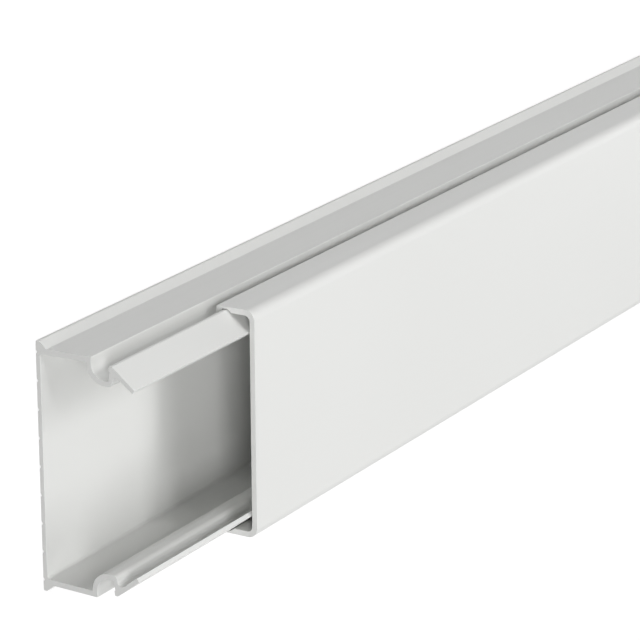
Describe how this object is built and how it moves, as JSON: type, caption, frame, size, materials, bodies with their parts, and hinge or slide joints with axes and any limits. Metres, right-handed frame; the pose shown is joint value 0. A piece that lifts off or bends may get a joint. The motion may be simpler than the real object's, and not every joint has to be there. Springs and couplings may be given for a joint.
{
  "type": "cord cover raceway",
  "caption": "Surface cord raceway: an extruded plastic channel with a grooved flat back for gluing to a wall, and a clip-on cover whose hooks catch in the channel's side grooves.",
  "frame": {"origin": "on the base's flat back face, in the middle of its length and width", "axes": "+X along the length, away from the end where the cover is set back; +Y across the width; +Z from the wall face out to the front of the cover"},
  "size_m": [1, 0.0642, 0.03],
  "materials": {
    "white_pvc": "satin"
  },
  "bodies": {
    "root": {"raceway_base": "white_pvc", "raceway_cover": "white_pvc"}
  },
  "joints": []
}
